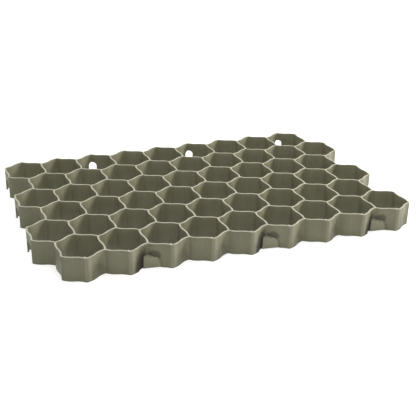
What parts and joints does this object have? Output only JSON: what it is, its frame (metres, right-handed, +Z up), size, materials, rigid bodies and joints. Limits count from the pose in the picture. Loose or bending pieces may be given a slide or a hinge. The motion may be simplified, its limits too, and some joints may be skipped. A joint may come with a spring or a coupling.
{
  "type": "grass paver grid",
  "caption": "Moulded plastic honeycomb panel with wavy walls, open above and below, laid in the ground to carry traffic over grass or gravel.",
  "frame": {"origin": "middle of the underside", "axes": "+X along the rows of cells, +Y towards the rows behind, +Z up"},
  "size_m": [0.623, 0.4056, 0.04],
  "materials": {
    "plastic": "satin moulded, paler on the rim"
  },
  "bodies": {
    "root": {"paver_grid": "plastic"}
  },
  "joints": []
}
